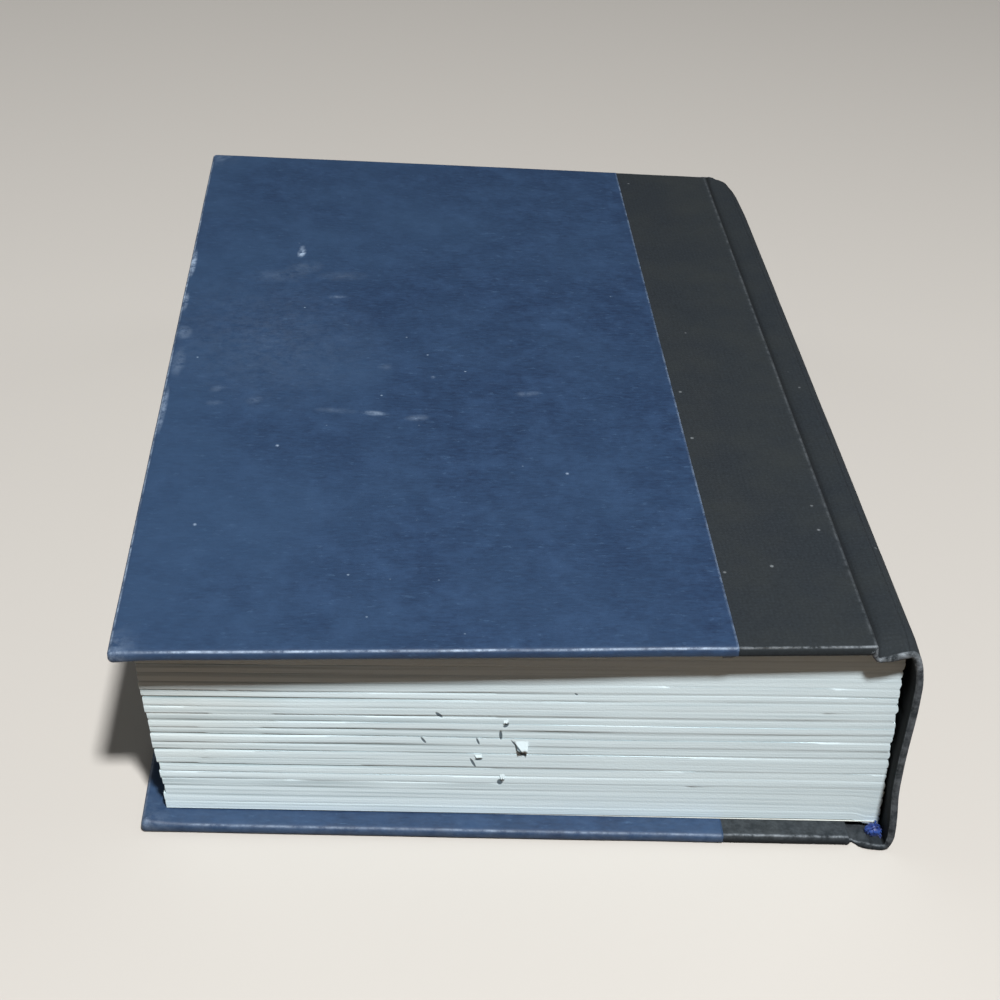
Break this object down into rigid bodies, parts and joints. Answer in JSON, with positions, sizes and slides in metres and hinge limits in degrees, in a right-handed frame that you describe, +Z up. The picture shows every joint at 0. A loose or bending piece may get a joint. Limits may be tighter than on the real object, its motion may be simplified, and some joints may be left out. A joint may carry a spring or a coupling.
{
  "type": "hardback book",
  "caption": "Thick quarter-bound hardback book lying flat, with a leaning block of sewn sections and two covers that open on cloth joints.",
  "frame": {"origin": "middle of the book's overall size, on the surface it lies on", "axes": "+X from the fore-edge to the spine, +Y from the tail to the head, +Z up; the book lies on its front cover"},
  "size_m": [0.1679, 0.241, 0.055],
  "materials": {
    "leaves": "uncoated pages, cut edges, a little yellow-grey at the folds",
    "endpaper": "plain uncoated paper",
    "mull": "open starched gauze",
    "lining_paper": "brown kraft paper",
    "headband": "royal blue woven thread",
    "spine_card": "grey card",
    "spine_cloth": "charcoal book cloth, fine grain, rubbed pale at the edges",
    "greyboard": "grey pressed board",
    "side_paper": "navy blue fibrous covering paper, rubbed pale at the edges"
  },
  "bodies": {
    "block": {"text_block": "leaves", "front_flyleaf": "endpaper", "back_flyleaf": "endpaper", "spine_mull": "mull", "spine_lining": "lining_paper", "head_headband": "headband", "tail_headband_tuft": "headband", "spine_inlay": "spine_card", "spine_cloth": "spine_cloth"},
    "front_cover": {"front_board": "greyboard", "front_side_paper": "side_paper", "front_quarter_cloth": "spine_cloth", "front_mull_flange": "mull", "front_pastedown": "endpaper"},
    "back_cover": {"back_board": "greyboard", "back_side_paper": "side_paper", "back_quarter_cloth": "spine_cloth", "back_mull_flange": "mull", "back_pastedown": "endpaper"}
  },
  "joints": [
    {"name": "back_cover_joint", "type": "hinge", "parent": "block", "child": "back_cover", "pos_m": [0.07853, 0, 0.0526], "axis": [0, 1, 0], "range_deg": [0, 180]},
    {"name": "front_cover_joint", "type": "hinge", "parent": "block", "child": "front_cover", "pos_m": [0.08153, 0, 0.0027], "axis": [0, 1, 0], "range_deg": [-180, 0]}
  ]
}
